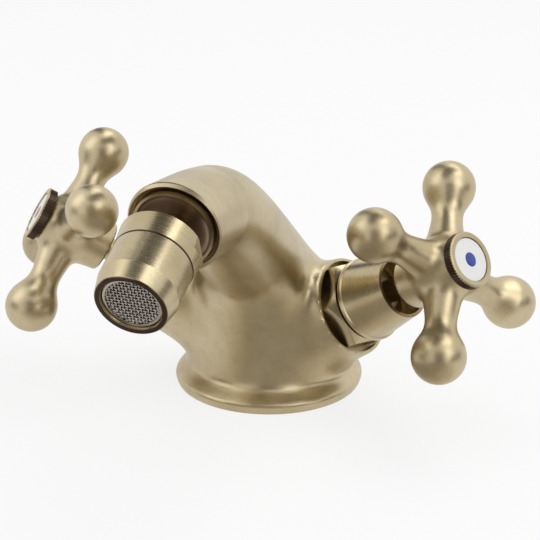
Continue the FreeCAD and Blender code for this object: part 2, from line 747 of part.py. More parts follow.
def swivel_collar():
    """Holds the ball from behind; its spigot screws into the housing. Two flats take a wrench."""
    mouth_r = math.sqrt(SOCKET_R ** 2 - (COLLAR_BACK + 0.6) ** 2)
    outside = turned([
        (0, COLLAR_BACK),
        (COLLAR_R - 0.5, COLLAR_BACK),
        (COLLAR_R, COLLAR_BACK + 0.5),
        (NOZZLE_R + 0.1, SEAM_AT - 0.2),
        (NOZZLE_R - 0.1, SEAM_AT),
        (COLLAR_SPIGOT_R, SEAM_AT),
        (COLLAR_SPIGOT_R, COLLAR_SPIGOT_AT),
        (0, COLLAR_SPIGOT_AT),
    ])
    socket = Part.makeSphere(SOCKET_R)
    front = rod(SOCKET_R, 0, COLLAR_SPIGOT_AT + 1)
    mouth = Part.makeCone(mouth_r + 0.9, mouth_r, 1.0, Vector(0, 0, COLLAR_BACK - 0.4), UP)
    flats = []
    for side in (1, -1):
        flats.append(Part.makeBox(4, 9, 3.6, Vector(side * (COLLAR_R + 1.1) - 2, -4.5, COLLAR_BACK - 0.1)))
    return outside.cut([socket, front, mouth] + flats)


def ball_seat():
    seat = tube(NOZZLE_BORE_R - 0.1, SEAT_HOLE_WIDE_R, SEAT_AT, SEAT_END_AT)
    return seat.cut(Part.makeSphere(SOCKET_R))


def nozzle_housing():
    shoulder = SEAT_END_AT
    core_end = NOZZLE_END_AT - AERATOR_SINK
    lip = 0.35
    return turned([
        (COLLAR_SPIGOT_R + 0.08, SEAM_AT),
        (NOZZLE_R - 0.1, SEAM_AT),
        (NOZZLE_R, SEAM_AT + 0.2),
        (NOZZLE_R, NOZZLE_TAPER_AT),
        (NOZZLE_END_R + lip, NOZZLE_END_AT - lip),
        (NOZZLE_END_R, NOZZLE_END_AT),
        (NOZZLE_BORE_R + 0.2, NOZZLE_END_AT),
        (NOZZLE_BORE_R, core_end),
        (NOZZLE_BORE_R, shoulder + WASHER_T - 0.1),
        (NOZZLE_BORE_R, shoulder - 0.3),
        (COLLAR_SPIGOT_R + 0.08, shoulder - 1.0),
    ])


def nozzle_washer():
    return tube(NOZZLE_BORE_R - 0.1, SEAT_HOLE_WIDE_R, SEAT_END_AT, SEAT_END_AT + WASHER_T)


def aerator_core():
    """Plastic flow former: a cup with a ring of small holes through its floor."""
    low = SEAT_END_AT + WASHER_T
    top = NOZZLE_END_AT - AERATOR_SINK - AERATOR_RING_T
    cup = tube(NOZZLE_BORE_R - 0.15, NOZZLE_BORE_R - 1.4, low, top)
    floor = rod(NOZZLE_BORE_R - 1.0, low, low + CORE_FLOOR_T)
    holes = []
    for i in range(CORE_HOLES):
        angle = 2 * math.pi * i / CORE_HOLES
        x = CORE_HOLES_AT_R * math.cos(angle)
        y = CORE_HOLES_AT_R * math.sin(angle)
        holes.append(rod_at(CORE_HOLE_R, x, y, low - 1, low + CORE_FLOOR_T + 1))
    return cup.fuse(floor).cut(holes)


def aerator_ring():
    """Bright ring at the mouth; the screen rests on its inner step."""
    top = NOZZLE_END_AT - AERATOR_SINK
    low = top - AERATOR_RING_T
    return turned([
        (SCREEN_R - 0.8, low),
        (AERATOR_RING_R, low),
        (AERATOR_RING_R, top - 0.3),
        (AERATOR_RING_R - 0.3, top),
        (SCREEN_R + 0.05, top),
        (SCREEN_R + 0.05, top - 1.0),
        (SCREEN_R - 0.8, top - 1.0),
    ])


def aerator_screen():
    """Square-meshed screen as one holed disc."""
    top = NOZZLE_END_AT - AERATOR_SINK - 0.4
    plate = rod(SCREEN_R, top - 0.5, top)
    gap = SCREEN_PITCH - SCREEN_WIRE
    reach = SCREEN_R - 0.5
    count = int(reach / SCREEN_PITCH) + 1
    holes = []
    for i in range(-count, count + 1):
        for j in range(-count, count + 1):
            corner = math.hypot(abs(i) * SCREEN_PITCH + gap / 2, abs(j) * SCREEN_PITCH + gap / 2)
            if corner < reach:
                holes.append(Part.makeBox(gap, gap, 2, Vector(i * SCREEN_PITCH - gap / 2,
                                                              j * SCREEN_PITCH - gap / 2, top - 1.2)))
    return plate.cut(holes)


# ---------------------------------------------------------------- assembly

def build():
    nodes = {"body": body(), "base_gasket": base_gasket()}
    for name, side, turn in (("cold", 1, COLD_CROSS_TURN), ("hot", -1, HOT_CROSS_TURN)):
        valve = valve_frame(side)
        pieces = {
            "bonnet": bonnet(side * HEX_TURN),
            "shroud": shroud(),
            "cartridge_housing": cartridge_housing(),
            "cartridge_ring": cartridge_ring(),
            "seat_seal": seat_seal(),
            "fixed_disc": fixed_disc(),
            "moving_disc": moving_disc(),
            "spindle": spindle(),
            "spindle_ring": spindle_ring(),
            "spindle_clip": spindle_clip(),
            "cross_handle": cross_handle(turn),
            "handle_screw": handle_screw(),
            "index_cap": index_cap(),
            "index_button": index_button(),
        }
        for piece, shape in pieces.items():
            nodes[name + "_" + piece] = placed(shape, valve)
    for piece, shape in (
        ("spout_adaptor", spout_adaptor()),
        ("adaptor_washer", adaptor_washer()),
        ("ball_stem", ball_stem()),
        ("stem_clip", stem_clip()),
        ("stem_ring", stem_ring()),
    ):
        nodes[piece] = placed(shape, MOUTH)
    for piece, shape in (
        ("swivel_collar", swivel_collar()),
        ("ball_seat", ball_seat()),
        ("nozzle_housing", nozzle_housing()),
        ("nozzle_washer", nozzle_washer()),
        ("aerator_core", aerator_core()),
        ("aerator_ring", aerator_ring()),
        ("aerator_screen", aerator_screen()),
    ):
        nodes[piece] = placed(shape, NOZZLE)
    return nodes


os.makedirs("parts", exist_ok=True)
for node, shape in build().items():
    solids = len(shape.Solids)
    print(node, "solids", solids, "valid", shape.isValid(), "volume %.1f" % shape.Volume)
    shape.exportStep("parts/" + node + ".step")
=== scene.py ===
import json
import math

import bmesh
import bpy
import numpy as np
from mathutils import Matrix, Vector


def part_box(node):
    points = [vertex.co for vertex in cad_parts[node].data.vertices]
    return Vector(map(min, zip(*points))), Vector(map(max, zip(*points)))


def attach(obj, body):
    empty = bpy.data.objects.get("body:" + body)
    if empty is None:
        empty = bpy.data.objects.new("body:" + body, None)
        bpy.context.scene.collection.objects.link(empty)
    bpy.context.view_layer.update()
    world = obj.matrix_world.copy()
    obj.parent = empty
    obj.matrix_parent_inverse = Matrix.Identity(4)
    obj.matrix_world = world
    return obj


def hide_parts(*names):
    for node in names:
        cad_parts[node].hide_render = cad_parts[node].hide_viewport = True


# Two-handle bidet mixer tap in brushed antique brass.
# +Z up, the spout points to -Y, cold is at +X, hot at -X. Shapes are worked out in millimetres and scaled
# to metres by MM; names that end in _S are lengths along a valve's axis, _R radii and _Z heights.

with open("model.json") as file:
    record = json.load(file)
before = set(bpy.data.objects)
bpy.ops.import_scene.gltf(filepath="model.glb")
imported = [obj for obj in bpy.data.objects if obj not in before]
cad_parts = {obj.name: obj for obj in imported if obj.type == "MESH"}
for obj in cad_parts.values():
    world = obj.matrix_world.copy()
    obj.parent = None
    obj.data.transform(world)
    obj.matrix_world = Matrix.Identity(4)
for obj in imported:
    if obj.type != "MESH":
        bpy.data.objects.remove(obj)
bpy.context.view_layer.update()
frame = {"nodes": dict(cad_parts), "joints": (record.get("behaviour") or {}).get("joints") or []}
MM = 0.001
UP = Vector((0, 0, 1))

# ---------------------------------------------------------------- sizes, in millimetres and degrees

# camera: fitted to the photograph
CAMERA_AZIMUTH = 18.0176
CAMERA_ELEVATION = 20.4331
CAMERA_ROLL = 0.1303
CAMERA_DISTANCE = 500.0
CAMERA_RIGHT = 0.3396
CAMERA_UP = 33.308
FOCAL_PIXELS = 1579.05
PHOTO_PIXELS = 540
SENSOR_MM = 36.0

# body: trunk and neck
LIP_R = 29.4
LIP_TUCK = 0.7
LIP_Z = 1.6
LIP_SPARE = 0.16         # keeps the profile's swell inside LIP_R
TRUNK_R = 23.4
TRUNK_FOOT_Z = -3.0      # below the base, so that the cutter makes the flat foot
TRUNK_TOP_Z = 54.0
NECK_ROOT = (4.3, 30.4)
NECK_SLOPE = 36.6
NECK_END_RISE = 5.6
NECK_PULL = 0.767
NECK_END_PULL = 0.389
NECK_ROOT_R = 15.4
NECK_ARCH_R = 12.5
NECK_ARCH_T = 0.72
SPOUT_R = 12.8
RIM = (-78.6, 74.7)
SPOUT_DROP = 15.0
NOZZLE_DROP = 22.5
MOUTH_SEAT_R = 11.4
MOUTH_SEAT_DEPTH = 2.4
MOUTH_THREAD_R = 8.0
MOUTH_THREAD_DEPTH = 10.5
MOUTH_SPARE = 1.6        # length of neck beyond the rim that the cutter takes off
MOUTH_BEVEL = 0.8
MOUTH_EDGE = 0.35

# body: valve ports
RIM_ROUND = 0.8
PORT_START_S = 2.0
PORT_ROOT_S = 4.0
PORT_MOUTH_S = 35.4
PORT_R = 14.6
PORT_MID_R = 16.5
PORT_MID_SHARE = 0.62
PORT_ROOT_R = 20.5
PORT_FLOOR_Z = 4.6
PORT_LEAN_UP = -0.05     # lean of the port's face, as a slope
PORT_LEAN_REAR = 0.08
COUNTERBORE_R = 14.1
COUNTERBORE_S = 32.2
CHAMBER_R = 10.1
CHAMBER_S = 27.0
CREASE = 2.2             # fillet where the neck leaves the trunk
PORT_FILLET = 7.0

# body: underside
RECESS_R = 20.5
RECESS_DEPTH = 7.0
GROOVE_IN_R = 23.0
GROOVE_OUT_R = 26.6
GROOVE_DEPTH = 2.0
INLET_R = 4.5
INLET_AT = (8.2, 11.0)
INLET_DEPTH = 8.0
STUD_R = 3.4
STUD_Y = -9.0
STUD_DEPTH = 10.0
CUTTER_SPARE = 9.0       # how far a cutter stands out of the hole that it makes
BODY_LOW = (-46, -99, -4)
BODY_HIGH = (46, 36, 94)
BODY_CELL = 0.8

# cross handle
CROSS_S = 74.9
HUB_BACK_S = 61.8
HUB_FRONT_S = 82.8
HUB_BACK_R = 7.7
HUB_MID_R = 9.2
HUB_FRONT_R = 6.9
HUB_ROUND = 0.8
HUB_FILLET = 2.4
ARM_BALL_AT = 27.0
ARM_BALL_R = 7.8
ARM_ROOT_R = 6.5
ARM_NECK_AT = 13.2
ARM_NECK_R = 4.9
ARM_FILLET = 2.0
SPINDLE_HOLE_R = 3.6
SPINDLE_HOLE_DEPTH = 9.0
HANDLE_TURN = {"cold": -37.0, "hot": 33.0}
HANDLE_CELL = 0.7
FIELD_SPARE = 2.0        # room round the handle in its grid

# marks, nozzle and screen
CAP_TOP_S = 85.6
KNURL_SINK = 1.65
KNURL_HALF = 1.1
BUTTON_SINK = 0.25
MARK_R = 2.1
MARK_TOP_R = 1.95
SEAM_AT = 2.7
SEAM_HALF = 0.2
# place of the painted shade band at the nozzle's end
NOZZLE_END_AT = 18.6
NOZZLE_END_HALF = 0.14
SCREEN_R = 7.0
SCREEN_PITCH = 0.92
SCREEN_WIRE_R = 0.17
SCREEN_EDGE = 0.05


# ---------------------------------------------------------------- signed distance tools

def smooth_min(a, b, reach):
    """Union of two distances with a fillet of about the given reach."""
    blend = np.clip(0.5 + 0.5 * (b - a) / reach, 0, 1)
    return b * (1 - blend) + a * blend - reach * blend * (1 - blend)


def smooth_max(a, b, reach):
    return -smooth_min(-a, -b, reach)


def spline(xs, ys):
    """Natural cubic through a few points, as a function of x with its slope."""
    x = np.array(xs, float)
    y = np.array(ys, float)
    count = len(x)
    step = np.diff(x)
    rows = np.eye(count)
    right = np.zeros(count)
    for i in range(1, count - 1):
        rows[i, i - 1:i + 2] = (step[i - 1], 2 * (step[i - 1] + step[i]), step[i])
        right[i] = 6 * ((y[i + 1] - y[i]) / step[i] - (y[i] - y[i - 1]) / step[i - 1])
    bend = np.linalg.solve(rows, right)

    def value(at):
        at = np.clip(at, x[0], x[-1])
        i = np.clip(np.searchsorted(x, at) - 1, 0, count - 2)
        h = step[i]
        a = (x[i + 1] - at) / h
        b = (at - x[i]) / h
        bow = (a ** 3 - a) * bend[i] + (b ** 3 - b) * bend[i + 1]
        turn = (1 - 3 * a * a) * bend[i] + (3 * b * b - 1) * bend[i + 1]
        level = a * y[i] + b * y[i + 1] + bow * h * h / 6
        slope = (y[i + 1] - y[i]) / h + turn * h / 6
        return level, slope

    return value


def surface_net(field, low, cell):
    """Quads round the zero level of a field on a grid."""
    inside = field < 0
    shape = np.array(field.shape) - 1
    some = np.zeros(shape, bool)
    every = np.ones(shape, bool)
    corners = [(i, j, k) for i in (0, 1) for j in (0, 1) for k in (0, 1)]
    for i, j, k in corners:
        part = inside[i:shape[0] + i, j:shape[1] + j, k:shape[2] + k]
        some |= part
        every &= part
    active = some & ~every
    index = np.full(shape, -1)
    index[active] = np.arange(active.sum())
    cells = np.argwhere(active)
    total = np.zeros((len(cells), 3))
    crossings = np.zeros(len(cells))
    for axis in range(3):
        along = np.eye(3, dtype=int)[axis]
        for corner in corners:
            if corner[axis] == 1:
                continue
            start = cells + corner
            end = start + along
            a = field[tuple(start.T)]
            b = field[tuple(end.T)]
            cross = (a < 0) != (b < 0)
            share = a[cross] / (a[cross] - b[cross])
            total[cross] += np.array(corner) + share[:, None] * along
            crossings[cross] += 1
    points = (cells + total / crossings[:, None]) * cell + low
    quads = []
    for axis in range(3):
        one, two = (axis + 1) % 3, (axis + 2) % 3
        trimmed = [slice(None)] * 3
        trimmed[axis] = slice(0, -1)
        shifted = [slice(None)] * 3
        shifted[axis] = slice(1, None)
        change = inside[tuple(trimmed)] != inside[tuple(shifted)]
        edges = np.argwhere(change)
        keep = (edges[:, one] > 0) & (edges[:, two] > 0)
        keep &= (edges[:, one] < shape[one]) & (edges[:, two] < shape[two])
        edges = edges[keep]
        leaving = inside[tuple(edges.T)]
        ring = []
        for a, b in ((0, 0), (1, 0), (1, 1), (0, 1)):
            around = edges.copy()
            around[:, one] -= a
            around[:, two] -= b
            ring.append(index[tuple(around.T)])
        ring = np.stack(ring, axis=1)
        ring[leaving] = ring[leaving][:, ::-1]
        quads.append(ring[:, ::-1])
    return points, np.concatenate(quads)


def settle(points, quads, distance):
    """Evens the net out and brings each point exactly onto the surface."""
    edges = np.concatenate([quads[:, [0, 1]], quads[:, [1, 2]], quads[:, [2, 3]], quads[:, [3, 0]]])
    edges = np.unique(np.sort(edges, axis=1), axis=0)
    degree = np.bincount(edges.ravel(), minlength=len(points))[:, None]
    rounds = 4
    nudge = 0.01
    flattest = 0.05
    for turn in range(rounds):
        if turn < rounds - 1:
            total = np.zeros_like(points)
            np.add.at(total, edges[:, 0], points[edges[:, 1]])
            np.add.at(total, edges[:, 1], points[edges[:, 0]])
            points = 0.5 * points + 0.5 * total / degree
        for _ in range(2):
            level = distance(*points.T)
            slope = np.stack([
                distance(*(points + nudge * np.eye(3)[i]).T) - level for i in range(3)
            ], axis=1) / nudge
            points = points - slope * (level / np.maximum((slope ** 2).sum(axis=1), flattest))[:, None]
    return points


def solid_from(distance, low, high, cell):
    """Mesh data of the solid where a distance function is negative."""
    axes = [np.arange(low[i], high[i] + cell, cell) for i in range(3)]
    x = axes[0][:, None, None]
    y = axes[1][None, :, None]
    z = axes[2][None, None, :]
    field = np.array(distance(x, y, z))
    points, quads = surface_net(field, np.array(low, float), cell)
    return settle(points, quads, distance), quads


# ---------------------------------------------------------------- mesh tools

def make_object(name, points, faces):
    mesh = bpy.data.meshes.new(name)
    mesh.from_pydata([tuple(p) for p in points], [], [tuple(int(i) for i in f) for f in faces])
    mesh.validate()
    mesh.update()
    piece = bpy.data.objects.new(name, mesh)
    bpy.context.scene.collection.objects.link(piece)
    return piece


def make_rectangle(name, half_x, half_y):
    corners = ((-half_x, -half_y, 0), (half_x, -half_y, 0), (half_x, half_y, 0), (-half_x, half_y, 0))
    return make_object(name, corners, ((0, 1, 2, 3),))


def lathe(name, outline, matrix, sides=96):
    """Closed solid turned about local Z from (radius, height) points, which begin and end on the axis."""
    points = []
    faces = []
    rows = []
    for radius, height in outline:
        if radius == 0:
            rows.append([len(points)])
            points.append(matrix @ Vector((0, 0, height)))
            continue
        rows.append(list(range(len(points), len(points) + sides)))
        for i in range(sides):
            angle = 2 * math.pi * i / sides
            points.append(matrix @ Vector((radius * math.cos(angle), radius * math.sin(angle), height)))
    for low, high in zip(rows, rows[1:]):
        for i in range(sides):
            j = (i + 1) % sides
            ring = [low[i % len(low)], low[j % len(low)], high[j % len(high)], high[i % len(high)]]
            face = []
            for corner in ring:
                if corner not in face:
                    face.append(corner)
            faces.append(face)
    return make_object(name, points, faces)


def cut(piece, outline, matrix, sides=96):
    """Takes a turned solid out of a piece."""
    cutter = lathe("cutter", outline, matrix, sides)
    change = piece.modifiers.new("cut", "BOOLEAN")
    change.operation = "DIFFERENCE"
    change.solver = "MANIFOLD"
    change.object = cutter
    apply_modifiers(piece)
    bpy.data.objects.remove(cutter)


def apply_modifiers(piece):
    bpy.context.view_layer.update()
    graph = bpy.context.evaluated_depsgraph_get()
    mesh = bpy.data.meshes.new_from_object(piece.evaluated_get(graph))
    old = piece.data
    piece.modifiers.clear()
    piece.data = mesh
    mesh.name = piece.name
    bpy.data.meshes.remove(old)


def shade(piece, degrees=32):
    mesh = piece.data
    mesh.polygons.foreach_set("use_smooth", [True] * len(mesh.polygons))
    mesh.set_sharp_from_angle(angle=math.radians(degrees))
    mesh.update()


def to_metres(piece):
    piece.data.transform(Matrix.Scale(MM, 4))


# ---------------------------------------------------------------- axes

JOINTS = {joint["name"]: joint for joint in frame["joints"]}


def axis_frame(origin, axis, sideways):
    z = Vector(axis).normalized()
    x = (Vector(sideways) - z * z.dot(Vector(sideways))).normalized()
    y = z.cross(x)
    matrix = Matrix((x, y, z)).transposed().to_4x4()
    matrix.translation = Vector(origin)
    return matrix


def valve_frame(side_name):
    joint = JOINTS[side_name + "_handle_turn"]
    axis = Vector(joint["axis"])
    return axis_frame(Vector(joint["pos_m"]) / MM, axis, UP.cross(axis))


def drop_axis(degrees):
    return Vector((0, -math.cos(math.radians(degrees)), -math.sin(math.radians(degrees))))


VALVES = {name: valve_frame(name) for name in ("cold", "hot")}
MOUTH = axis_frame((0, RIM[0], RIM[1]), drop_axis(SPOUT_DROP), (1, 0, 0))
BALL = Vector(JOINTS["nozzle_tilt"]["pos_m"]) / MM
NOZZLE = axis_frame(BALL, drop_axis(NOZZLE_DROP), (1, 0, 0))


# ---------------------------------------------------------------- body shape

def bezier(t):
    """Centre line of the neck, as (y, z)."""
    slope = math.radians(NECK_SLOPE)
    rise = math.radians(NECK_END_RISE)
    start = np.array(NECK_ROOT)
    end = np.array(RIM)
    span = np.hypot(*(end - start))
    one = start + NECK_PULL * span * np.array([-math.cos(slope), math.sin(slope)])
    two = end - NECK_END_PULL * span * np.array([-math.cos(rise), math.sin(rise)])
    t = np.asarray(t)[..., None]
    return (1 - t) ** 3 * start + 3 * (1 - t) ** 2 * t * one + 3 * (1 - t) * t * t * two + t ** 3 * end


def neck_radius(t):
    """Tapers from the root to the arch, then flares a little towards the mouth."""
    before = np.clip(t, 0, NECK_ARCH_T) / NECK_ARCH_T
    after = np.clip(t - NECK_ARCH_T, 0, None) / (1 - NECK_ARCH_T)
    tapered = NECK_ROOT_R + (NECK_ARCH_R - NECK_ROOT_R) * before ** 1.3
    return tapered + (SPOUT_R - NECK_ARCH_R) * after ** 1.5


PATH_T = np.linspace(0, 1.12, 225)     # runs on beyond the rim, which is at 1
PATH = bezier(PATH_T)


def along_neck(y, z):
    """Nearest place on the centre line: its parameter and the distance to it in the plane X = 0."""
    y, z = np.broadcast_arrays(y, z)
    flat = np.stack([y.ravel(), z.ravel()], axis=1)
    best_t = np.empty(len(flat))
    best_d = np.empty(len(flat))
    leg = np.diff(PATH, axis=0)
    leg_square = (leg ** 2).sum(axis=1)
    block = 20000
    for begin in range(0, len(flat), block):
        part = flat[begin:begin + block]
        away = part[:, None, :] - PATH[None, :-1, :]
        share = np.clip((away * leg).sum(axis=2) / leg_square, 0, 1)
        square = ((away - share[..., None] * leg) ** 2).sum(axis=2)
        nearest = square.argmin(axis=1)
        rows = np.arange(len(part))
        best_d[begin:begin + block] = np.sqrt(square[rows, nearest])
        best_t[begin:begin + block] = PATH_T[nearest] + share[rows, nearest] * (PATH_T[1] - PATH_T[0])
    return best_t.reshape(y.shape), best_d.reshape(y.shape)


def neck_distance(x, y, z):
    t, away = along_neck(y, z)
    side = np.sqrt(x * x + away * away) - neck_radius(t)
    forward = MOUTH.col[2]
    beyond = (y - RIM[0]) * forward.y + (z - RIM[1]) * forward.z
    return np.maximum(side, beyond - MOUTH_SPARE)


# the trunk's radius, and the place of its middle in Y, by height
TRUNK_PROFILE = spline(
    (TRUNK_FOOT_Z, 0, LIP_Z, 3.0, 3.9, 5.0, 7.3, 11.0, 20.0, 30.0, 40.0, 47.0, TRUNK_TOP_Z),
    (27.4, LIP_R - LIP_TUCK, LIP_R - LIP_SPARE, 28.8, 27.5, 25.5, 23.9,
     TRUNK_R, 22.2, 20.6, 16.6, 12.5, 7.0))
TRUNK_LINE = spline(
    (TRUNK_FOOT_Z, 11, 20, 30, 40, 47, TRUNK_TOP_Z),
    (0, 0, -1.2, -5.2, -13.0, -20.0, -28.0))


def trunk_distance(x, y, z):
    radius, slope = TRUNK_PROFILE(z)
    middle = TRUNK_LINE(z)[0]
    side = (np.sqrt(x * x + (y - middle) ** 2) - radius) / np.sqrt(1 + slope * slope)
    return np.maximum(np.maximum(side, z - TRUNK_TOP_Z), TRUNK_FOOT_Z - z)


# a port's radius along the valve's axis; both ends run on with the same sweep
PORT_PROFILE = spline(
    (-6, PORT_ROOT_S, PORT_MID_SHARE * PORT_MOUTH_S, PORT_MOUTH_S, PORT_MOUTH_S + 6),
    (PORT_ROOT_R - 1.0, PORT_ROOT_R, PORT_MID_R, PORT_R, PORT_R - 0.6))


def port_distance(x, y, z, name):
    """Swelling arm that carries a valve; its rounded face leans a little off the axis."""
    valve = VALVES[name]
    axis = valve.col[2]
    origin = valve.translation
    dx, dy, dz = x - origin.x, y - origin.y, z - origin.z
    along = dx * axis.x + dy * axis.y + dz * axis.z
    square = dx * dx + dy * dy + dz * dz - along * along
    radius, slope = PORT_PROFILE(along)
    side = (np.sqrt(np.maximum(square, 0)) - radius) / np.sqrt(1 + slope * slope)
    lean = PORT_LEAN_REAR if name == "cold" else -PORT_LEAN_REAR
    face = (valve.to_3x3() @ Vector((lean, PORT_LEAN_UP, 1))).normalized()
    middle = origin + PORT_MOUTH_S * axis.to_3d()
    beyond = (x - middle.x) * face.x + (y - middle.y) * face.y + (z - middle.z) * face.z
    arm = smooth_max(side, beyond, RIM_ROUND)
    return np.maximum(np.maximum(arm, PORT_START_S - along), PORT_FLOOR_Z - z)


def body_distance(x, y, z):
    trunk = trunk_distance(x, y, z)
    ports = np.minimum(port_distance(x, y, z, "cold"), port_distance(x, y, z, "hot"))
    upper = smooth_min(neck_distance(x, y, z), ports, PORT_FILLET)
    lower = smooth_min(trunk, ports, PORT_FILLET)
    return smooth_min(lower, upper, CREASE)


def cut_foot(body):
    """Flat foot with the gasket's groove and the recess above the tap hole."""
    far = 60.0
    cut(body, (
        (0, -far), (far, -far), (far, 0),
        (GROOVE_OUT_R, 0), (GROOVE_OUT_R, GROOVE_DEPTH), (GROOVE_IN_R, GROOVE_DEPTH), (GROOVE_IN_R, 0),
        (RECESS_R, 0), (RECESS_R, RECESS_DEPTH), (0, RECESS_DEPTH),
    ), Matrix.Identity(4))


def cut_mouth(body):
    """Bevelled rim, seat and threaded bore of the spout."""
    edge_height = -2 * MOUTH_EDGE
    beyond_r = SPOUT_R + 5
    cut(body, (
        (0, -MOUTH_THREAD_DEPTH), (MOUTH_THREAD_R, -MOUTH_THREAD_DEPTH),
        (MOUTH_THREAD_R, -MOUTH_SEAT_DEPTH), (MOUTH_SEAT_R, -MOUTH_SEAT_DEPTH),
        (MOUTH_SEAT_R, -MOUTH_BEVEL), (SPOUT_R - MOUTH_EDGE, 0), (SPOUT_R + MOUTH_EDGE, edge_height),
        (beyond_r, edge_height), (beyond_r, CUTTER_SPARE), (0, CUTTER_SPARE),
    ), MOUTH)


def cut_ports(body):
    top = PORT_MOUTH_S + CUTTER_SPARE
    for valve in VALVES.values():
        cut(body, (
            (0, CHAMBER_S), (CHAMBER_R, CHAMBER_S),
            (CHAMBER_R, COUNTERBORE_S), (COUNTERBORE_R, COUNTERBORE_S),
            (COUNTERBORE_R, top), (0, top),
        ), valve)


def cut_sockets(body):
    """Two inlets and the stud's hole, up from the recess."""
    inlet_x, inlet_y = INLET_AT
    for x, y, radius, depth in (
        (inlet_x, inlet_y, INLET_R, INLET_DEPTH),
        (-inlet_x, inlet_y, INLET_R, INLET_DEPTH),
        (0, STUD_Y, STUD_R, STUD_DEPTH),
    ):
        top = RECESS_DEPTH + depth
        cut(body, ((0, -2), (radius, -2), (radius, top), (0, top)), Matrix.Translation((x, y, 0)), 48)


def make_body():
    points, quads = solid_from(body_distance, BODY_LOW, BODY_HIGH, BODY_CELL)
    body = make_object("body_casting", points, quads)
    cut_foot(body)
    cut_mouth(body)
    cut_ports(body)
    cut_sockets(body)
    to_metres(body)
    shade(body)
    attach(body, "root")
    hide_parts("body")
    return body


# ---------------------------------------------------------------- cross handles

HUB_BACK = HUB_BACK_S - CROSS_S
HUB_FRONT = HUB_FRONT_S - CROSS_S

# radii along the hub and along an arm, from the cross's centre
HUB_PROFILE = spline(
    (HUB_BACK, HUB_BACK + 3, -3.0, 1.5, HUB_FRONT),
    (HUB_BACK_R, HUB_BACK_R + 0.3, HUB_MID_R, HUB_MID_R, HUB_FRONT_R))
BALL_LOW = ARM_BALL_AT - 0.72 * ARM_BALL_R
ARM_PROFILE = spline(
    (0, 5.0, ARM_NECK_AT, BALL_LOW - 1.6, ARM_BALL_AT - 0.35 * ARM_BALL_R, ARM_BALL_AT),
    (ARM_ROOT_R + 1.0, ARM_ROOT_R, ARM_NECK_R, 0.66 * ARM_BALL_R, 0.945 * ARM_BALL_R, ARM_BALL_R))


def handle_distance(x, y, z):
    """Hub along Z and four pear-shaped arms along X and Y, from the cross's centre."""
    radius, slope = HUB_PROFILE(z)
    hub = (np.sqrt(x * x + y * y) - radius) / np.sqrt(1 + slope * slope)
    hub = smooth_max(hub, z - HUB_FRONT, HUB_ROUND)
    hub = smooth_max(hub, HUB_BACK - z, HUB_ROUND)
    arms = None
    for across, along in ((y, x), (x, y)):
        run = np.abs(along)
        ball = np.sqrt((run - ARM_BALL_AT) ** 2 + across * across + z * z) - ARM_BALL_R
        radius, slope = ARM_PROFILE(run)
        pear = (np.sqrt(across * across + z * z) - radius) / np.sqrt(1 + slope * slope)
        pear = np.maximum(pear, run - ARM_BALL_AT)
        one = np.minimum(ball, pear)
        arms = one if arms is None else smooth_min(arms, one, ARM_FILLET)
    return smooth_min(hub, arms, HUB_FILLET)


def cross_frame(name):
    """The cross's centre, with the arms along X and Y."""
    turn = Matrix.Rotation(math.radians(HANDLE_TURN[name]), 4, "Z")
    return VALVES[name] @ Matrix.Translation((0, 0, CROSS_S)) @ turn


def make_handle(name):
    reach = ARM_BALL_AT + ARM_BALL_R + FIELD_SPARE
    low = (-reach, -reach, HUB_BACK - FIELD_SPARE)
    high = (reach, reach, HUB_FRONT + FIELD_SPARE)
    points, quads = solid_from(handle_distance, low, high, HANDLE_CELL)
    handle = make_object(name + "_cross_casting", points, quads)
    hole_low = HUB_BACK - 3
    hole_top = HUB_BACK + SPINDLE_HOLE_DEPTH
    hole = ((0, hole_low), (SPINDLE_HOLE_R, hole_low), (SPINDLE_HOLE_R, hole_top), (0, hole_top))
    cut(handle, hole, Matrix.Identity(4), 48)
    handle.data.transform(cross_frame(name))
    to_metres(handle)
    shade(handle)
    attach(handle, name + "_valve")
    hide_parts(name + "_cross_handle")
    return handle


# ---------------------------------------------------------------- small pieces

def make_mark(name):
    """Plain coloured enamel dot in the middle of the porcelain disc."""
    top = CAP_TOP_S - BUTTON_SINK
    outline = (
        (0, top - 0.1), (MARK_R, top - 0.1), (MARK_R, top + 0.02),
        (MARK_TOP_R, top + 0.06), (0, top + 0.07),
    )
    mark = lathe(name + "_mark", outline, VALVES[name], 48)
    to_metres(mark)
    shade(mark)
    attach(mark, name + "_valve")
    return mark


def add_wire(points, faces, row, along_x, level):
    """One wire of the screen, over and under the wires that cross it; faces for its sides and both ends."""
    sides = 6
    per_pitch = 4
    offset = row * SCREEN_PITCH
    half = math.sqrt(max(SCREEN_R ** 2 - offset ** 2, 0)) - SCREEN_EDGE
    if half < SCREEN_PITCH:
        return
    begin = len(points)
    stations = int(2 * half / SCREEN_PITCH * per_pitch) + 2
    flip = 1 if (row % 2 == 0) == along_x else -1
    for station in range(stations):
        run = -half + 2 * half * station / (stations - 1)
        lift = flip * SCREEN_WIRE_R * 1.05 * math.cos(math.pi * run / SCREEN_PITCH)
        base = len(points)
        for side in range(sides):
            angle = 2 * math.pi * side / sides
            out = offset + SCREEN_WIRE_R * math.cos(angle)
            rise = level + lift + SCREEN_WIRE_R * math.sin(angle)
            place = (run, out, rise) if along_x else (out, run, rise)
            points.append(NOZZLE @ Vector(place))
        if station:
            for side in range(sides):
                after = (side + 1) % sides
                faces.append((base - sides + side, base - sides + after, base + after, base + side))
    faces.append(tuple(range(begin, begin + sides)))
    faces.append(tuple(range(len(points) - sides, len(points)))[::-1])


